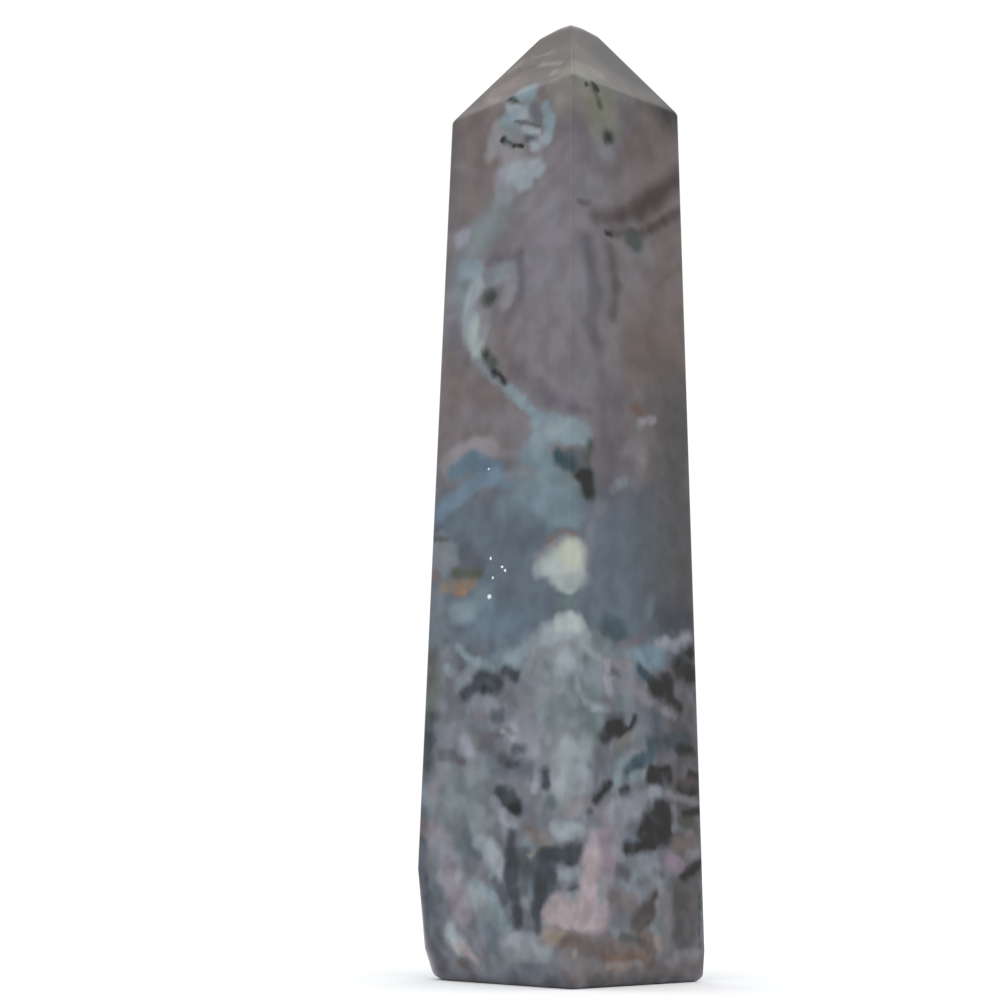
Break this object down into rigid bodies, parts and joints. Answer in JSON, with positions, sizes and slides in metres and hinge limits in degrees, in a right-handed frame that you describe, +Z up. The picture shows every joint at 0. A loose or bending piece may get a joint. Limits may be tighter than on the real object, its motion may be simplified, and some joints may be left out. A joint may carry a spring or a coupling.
{
  "type": "agate obelisk",
  "caption": "Polished plume agate tower with a square tapering body, a blunt pyramid tip and a low bevel round its flat base.",
  "frame": {"origin": "centre of the flat base, on the surface that the stone stands on", "axes": "+Z up through the tip, -Y and +X the two faces that the picture shows"},
  "size_m": [0.021, 0.021, 0.1],
  "materials": {
    "agate": "polished"
  },
  "bodies": {
    "root": {"obelisk": "agate"}
  },
  "joints": []
}
